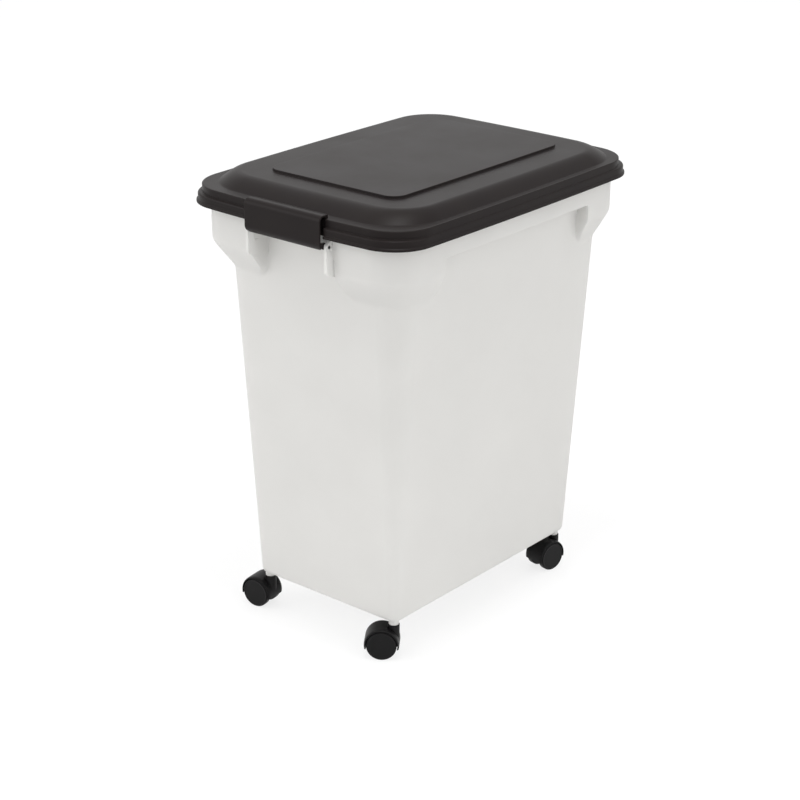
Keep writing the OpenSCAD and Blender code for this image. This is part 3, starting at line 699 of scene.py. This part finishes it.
# The notch that the latch closes into, and the slots that the hinge's ears pass through
KEEPER_HALF = LATCH_W / 2 + 1.5
KEEPER_Y = -231.0
SLOT_HALF, SLOT_REACH, CUT_PAST, NOTCH_DEPTH = EAR_T / 2 + EAR_GAP, 12.0, 5.0, 40.0
keeper_notch = box(-KEEPER_HALF, KEEPER_HALF, KEEPER_Y - NOTCH_DEPTH, KEEPER_Y, SKIRT_Z - CUT_PAST,
                   FLANGE_Z + CUT_PAST)
hinge_slots = [box(sx * HINGE_X + o - SLOT_HALF, sx * HINGE_X + o + SLOT_HALF, HINGE_Y - SLOT_REACH,
                   HINGE_Y + SLOT_REACH, SKIRT_Z - CUT_PAST, TIER_Z)
               for sx in (-1, 1) for o in (-EAR_OFFSET, EAR_OFFSET)]
lid_mesh = cut(mesh_of("lid_shell", *lofted(lid_rings())), [keeper_notch] + hinge_slots)
finish_mesh("lid_shell", lid_mesh, "charcoal_polypropylene", "lid", replaces=("lid",))

RIDGE_HALF, RIDGE_T, RIDGE_TOP_Z = LATCH_W / 2 - 1.5, 4.0, FLANGE_Z + 4.0
# How far a knuckle reaches in from its pin, to sink into the skirt's back
KNUCKLE_ROOT = HINGE_Y - (SKIRT[1] + SKIRT[3] - SKIRT[5] * (HINGE_X / SKIRT[0]) ** 2) + 1.5
ridge_top = disc(KEEPER_Y + RIDGE_T / 2, RIDGE_TOP_Z - RIDGE_T / 2, RIDGE_T / 2, 10, 0, 180)
ridge = prism([(KEEPER_Y, FLANGE_Z - 1), (KEEPER_Y + RIDGE_T, FLANGE_Z - 1)] + ridge_top,
              -RIDGE_HALF, RIDGE_HALF)
knuckle = prism(disc(HINGE_Y, HINGE_Z, HINGE_R, 24, -90, 180) + [(HINGE_Y - KNUCKLE_ROOT, HINGE_Z + HINGE_R),
                (HINGE_Y - KNUCKLE_ROOT, HINGE_Z - HINGE_R)], -KNUCKLE_L / 2, KNUCKLE_L / 2)
rounded_piece("lid_keeper_ridge", [ridge], 0.5, "charcoal_polypropylene", "lid")
# The thin wall that closes the back of the notch, just clear of the bin's bead
KEEPER_WALL = 1.0
keeper_wall = box(-KEEPER_HALF, KEEPER_HALF, KEEPER_Y, KEEPER_Y + KEEPER_WALL, SKIRT_Z + 0.3,
                  FLANGE_UNDER_Z + 0.5)
rounded_piece("lid_keeper_wall", [keeper_wall], 0.2, "charcoal_polypropylene", "lid")
rounded_piece("lid_hinge_knuckles", [knuckle], 0.5, "charcoal_polypropylene", "lid",
              rows=[HINGE_ROW])

# ---------------------------------------------------------------- latch

LATCH_T = 2.4
LATCH_TOP_Z = FLANGE_Z + 4.5
LATCH_BEND_R, LATCH_CURL_R, LATCH_CURL_H, LATCH_CORNER_R = 7.0, 11.3, 9.7, 5.0
LIP_END_Y = KEEPER_Y - 0.6
CURL_Y, CURL_Z = -LATCH_Y + LATCH_CURL_R, LATCH_LOW_Z + LATCH_CURL_H
# The rounded end of a plate: (share of its thickness, distance from its end)
PLATE_EDGE = [(0.0, 0.9), (0.03, 0.5), (0.14, 0.18), (0.3, 0.03), (0.5, 0.0), (0.7, 0.03), (0.86, 0.18),
              (0.97, 0.5), (1.0, 0.9)]


def latch_section(x_in, shrink):
    """The latch's plate in the y-z plane, x_in from its end, with its skin drawn in by shrink."""
    corner = max(0.0, LATCH_CORNER_R - x_in)
    low = LATCH_CORNER_R - math.sqrt(max(0.0, LATCH_CORNER_R ** 2 - corner ** 2))
    curl_deg = math.degrees(math.asin((LATCH_CURL_H - low) / LATCH_CURL_R))

    def depth(share):
        return shrink + share * (LATCH_T - 2 * shrink)

    def curl(share, from_end):
        return curl_deg - math.degrees((from_end + shrink) / LATCH_CURL_R)

    def skin(share):
        d = depth(share)
        end_deg = curl(share, 0.9)
        front = disc(CURL_Y, CURL_Z, LATCH_CURL_R - d, 10, 180 + end_deg, -end_deg)
        front += [(-LATCH_Y + d, CURL_Z + (LATCH_TOP_Z - LATCH_BEND_R - CURL_Z) * k / 8) for k in range(1, 8)]
        front += disc(-LATCH_Y + LATCH_BEND_R, LATCH_TOP_Z - LATCH_BEND_R, LATCH_BEND_R - d, 10, 180, -90)
        return front + [(LIP_END_Y - 2.0, LATCH_TOP_Z - d), (LIP_END_Y - 0.9 - shrink, LATCH_TOP_Z - d)]

    foot = []
    for share, from_end in reversed(PLATE_EDGE[1:-1]):
        angle = math.radians(180 + curl(share, from_end))
        r = LATCH_CURL_R - depth(share)
        foot.append((CURL_Y + r * math.cos(angle), CURL_Z + r * math.sin(angle)))
    lip = [(LIP_END_Y - from_end - shrink, LATCH_TOP_Z - depth(share)) for share, from_end in PLATE_EDGE[1:-1]]
    return list(reversed(skin(0.0) + lip + list(reversed(skin(1.0))) + foot))


def latch_plate():
    """The plate from end to end, its ends rounded over and the lower corners cut round."""
    half = LATCH_W / 2
    # (distance from the end, how far the skin is drawn in)
    ends = [(0.0, 0.85), (0.06, 0.5), (0.25, 0.2), (0.55, 0.05), (0.9, 0.0)]
    ends += [(v, 0.0) for v in (1.2, 1.6, 2.1, 2.7, 3.4, 4.2, 5.0, 20.0)]
    places = [(-half + v, v, d) for v, d in ends] + [(half - v, v, d) for v, d in reversed(ends)]
    return lofted([[(x, y, z) for y, z in latch_section(v, d)] for x, v, d in places])


LUG_T, LUG_R = 5.0, 4.0
lug = disc(CURL_Y, CURL_Z, LATCH_CURL_R - LATCH_T / 2, 6, 180, 52)
lug += [(PIVOT_Y, PIVOT_Z - LUG_R)] + disc(PIVOT_Y, PIVOT_Z, LUG_R, 16, -80, 160) + [(PIVOT_Y, PIVOT_Z + LUG_R)]
finished("latch_plate", *latch_plate(), "charcoal_polypropylene", "latch", "charcoal_polypropylene",
         replaces=("latch",))
rounded_piece("latch_lugs", [prism(lug, -LUG_T / 2, LUG_T / 2)], 0.3, "charcoal_polypropylene", "latch",
              rows=[(2, (LATCH_W - LUG_T, 0, 0))])

# ---------------------------------------------------------------- casters
# Each is drawn with its stem on the z axis and its axle trailing towards +x, then turned into place

WHEEL_R, WHEEL_W, WEB_W, CASTER_W, BORE_R = 19.0, 9.3, 11.2, 31.0, 2.55
HOOD_IN_R, HOOD_R, HOOD_EDGE, HOOD_HALF, HOOD_SHOULDER, HOOD_DROP = 19.8, 22.0, 0.8, 15.0, 5.0, 4.5
BOSS_R = 6.5
COLLAR_R, COLLAR_TOP_Z = 7.3, 43.7
# The wheel's half section: (radius, distance from its inner side)
WHEEL_SECTION = [(0.02, 7.1), (BORE_R, 7.1), (BORE_R, 0.0), (5.5, 0.0), (5.5, 6.5), (15.6, 6.5), (15.6, 0.0),
                 (17.6, 0.0), (WHEEL_R, 1.4), (WHEEL_R, 7.9), (17.9, WHEEL_W), (16.9, WHEEL_W), (16.4, 8.9),
                 (0.02, 8.9)]


def wheel_part(side):
    """A wheel on its axle, on the left (-1) or the right (1)."""
    inner = CASTER_W / 2 - WHEEL_W
    vertices, faces = turned(rounded([(r, inner + w) for r, w in WHEEL_SECTION], 0.5, 3), 72)
    return [(x, side * h, -side * y) for x, y, h in vertices], faces


def hood_cap():
    """The hood's arched sheet: its section swept over the wheels, cut level below the axle."""
    rise = HOOD_R - HOOD_IN_R - HOOD_EDGE
    bow = [(HOOD_IN_R + HOOD_EDGE + rise * math.sin(a), HOOD_HALF - HOOD_SHOULDER * (1 - math.cos(a)))
           for a in [math.radians(10 * k) for k in range(10)]]
    edge = [(HOOD_IN_R, HOOD_HALF - 0.3), (HOOD_IN_R + 0.25, HOOD_HALF)]
    section = edge + bow + [(r, -w) for r, w in reversed(edge + bow)]
    rings = []
    for k in range(61):
        ring = []
        for r, w in section:
            start = -math.asin(HOOD_DROP / r)
            angle = start + (math.pi - 2 * start) * k / 60
            ring.append((r * math.cos(angle), w, r * math.sin(angle)))
        rings.append(ring)
    return lofted(rings)


def hood_web():
    """The solid middle between the wheels, cut level below the axle, with the axle's boss."""
    r = HOOD_R - 1
    start = math.degrees(math.asin(HOOD_DROP / r))
    web = disc(0, 0, r, 48, -start, 180 + 2 * start)
    vertices, faces = joined([prism(outline, -WEB_W / 2, WEB_W / 2) for outline in (web, disc(0, 0, BOSS_R))])
    return [(y, -x, z) for x, y, z in vertices], faces


# The hood's collar round the stem: (radius, height)
COLLAR_SECTION = [(4.1, 22), (COLLAR_R, 22), (COLLAR_R, COLLAR_TOP_Z), (6.1, COLLAR_TOP_Z), (6.1, 42),
                  (4.1, 42)]
COLLAR = turned(rounded(COLLAR_SECTION, 0.5, 3))


def set_down(part, at, yaw):
    """A caster's part turned about the vertical and moved to its place, in millimetres."""
    vertices, faces = part
    c, s = math.cos(yaw), math.sin(yaw)
    return [(at[0] + c * x - s * y, at[1] + s * x + c * y, at[2] + z) for x, y, z in vertices], faces


joints = {j["name"]: j for j in frame["record"]["behaviour"]["joints"]}
for corner in ("front_right", "front_left", "back_right", "back_left"):
    caster = corner + "_caster"
    stem = [v / MM for v in joints[caster + "_swivel_turn"]["pos_m"]]
    axle = [v / MM for v in joints[caster + "_left_wheel_spin"]["pos_m"]]
    yaw = math.atan2(axle[1] - stem[1], axle[0] - stem[0])
    hood = [set_down(part, axle, yaw) for part in (hood_cap(), hood_web())]
    hood.append(set_down(COLLAR, (stem[0], stem[1], 0), yaw))
    rounded_piece(caster + "_hood_shell", hood, 0.35, "black_nylon", caster + "_swivel",
                  replaces=(caster + "_hood",))
    for side, hand in ((-1, "left"), (1, "right")):
        wheel = caster + "_" + hand + "_wheel"
        finished(wheel + "_disc", *set_down(wheel_part(side), axle, yaw), "black_nylon", wheel + "_body",
                 "black_nylon", replaces=(wheel,))

# ---------------------------------------------------------------- CAD nodes with their finish

slots = {s["node"]: s["material_slot"] for s in frame["record"]["subparts"]}
for name, node in frame["nodes"].items():
    node.data.materials.clear()
    node.data.materials.append(FINISH[slots[name]])
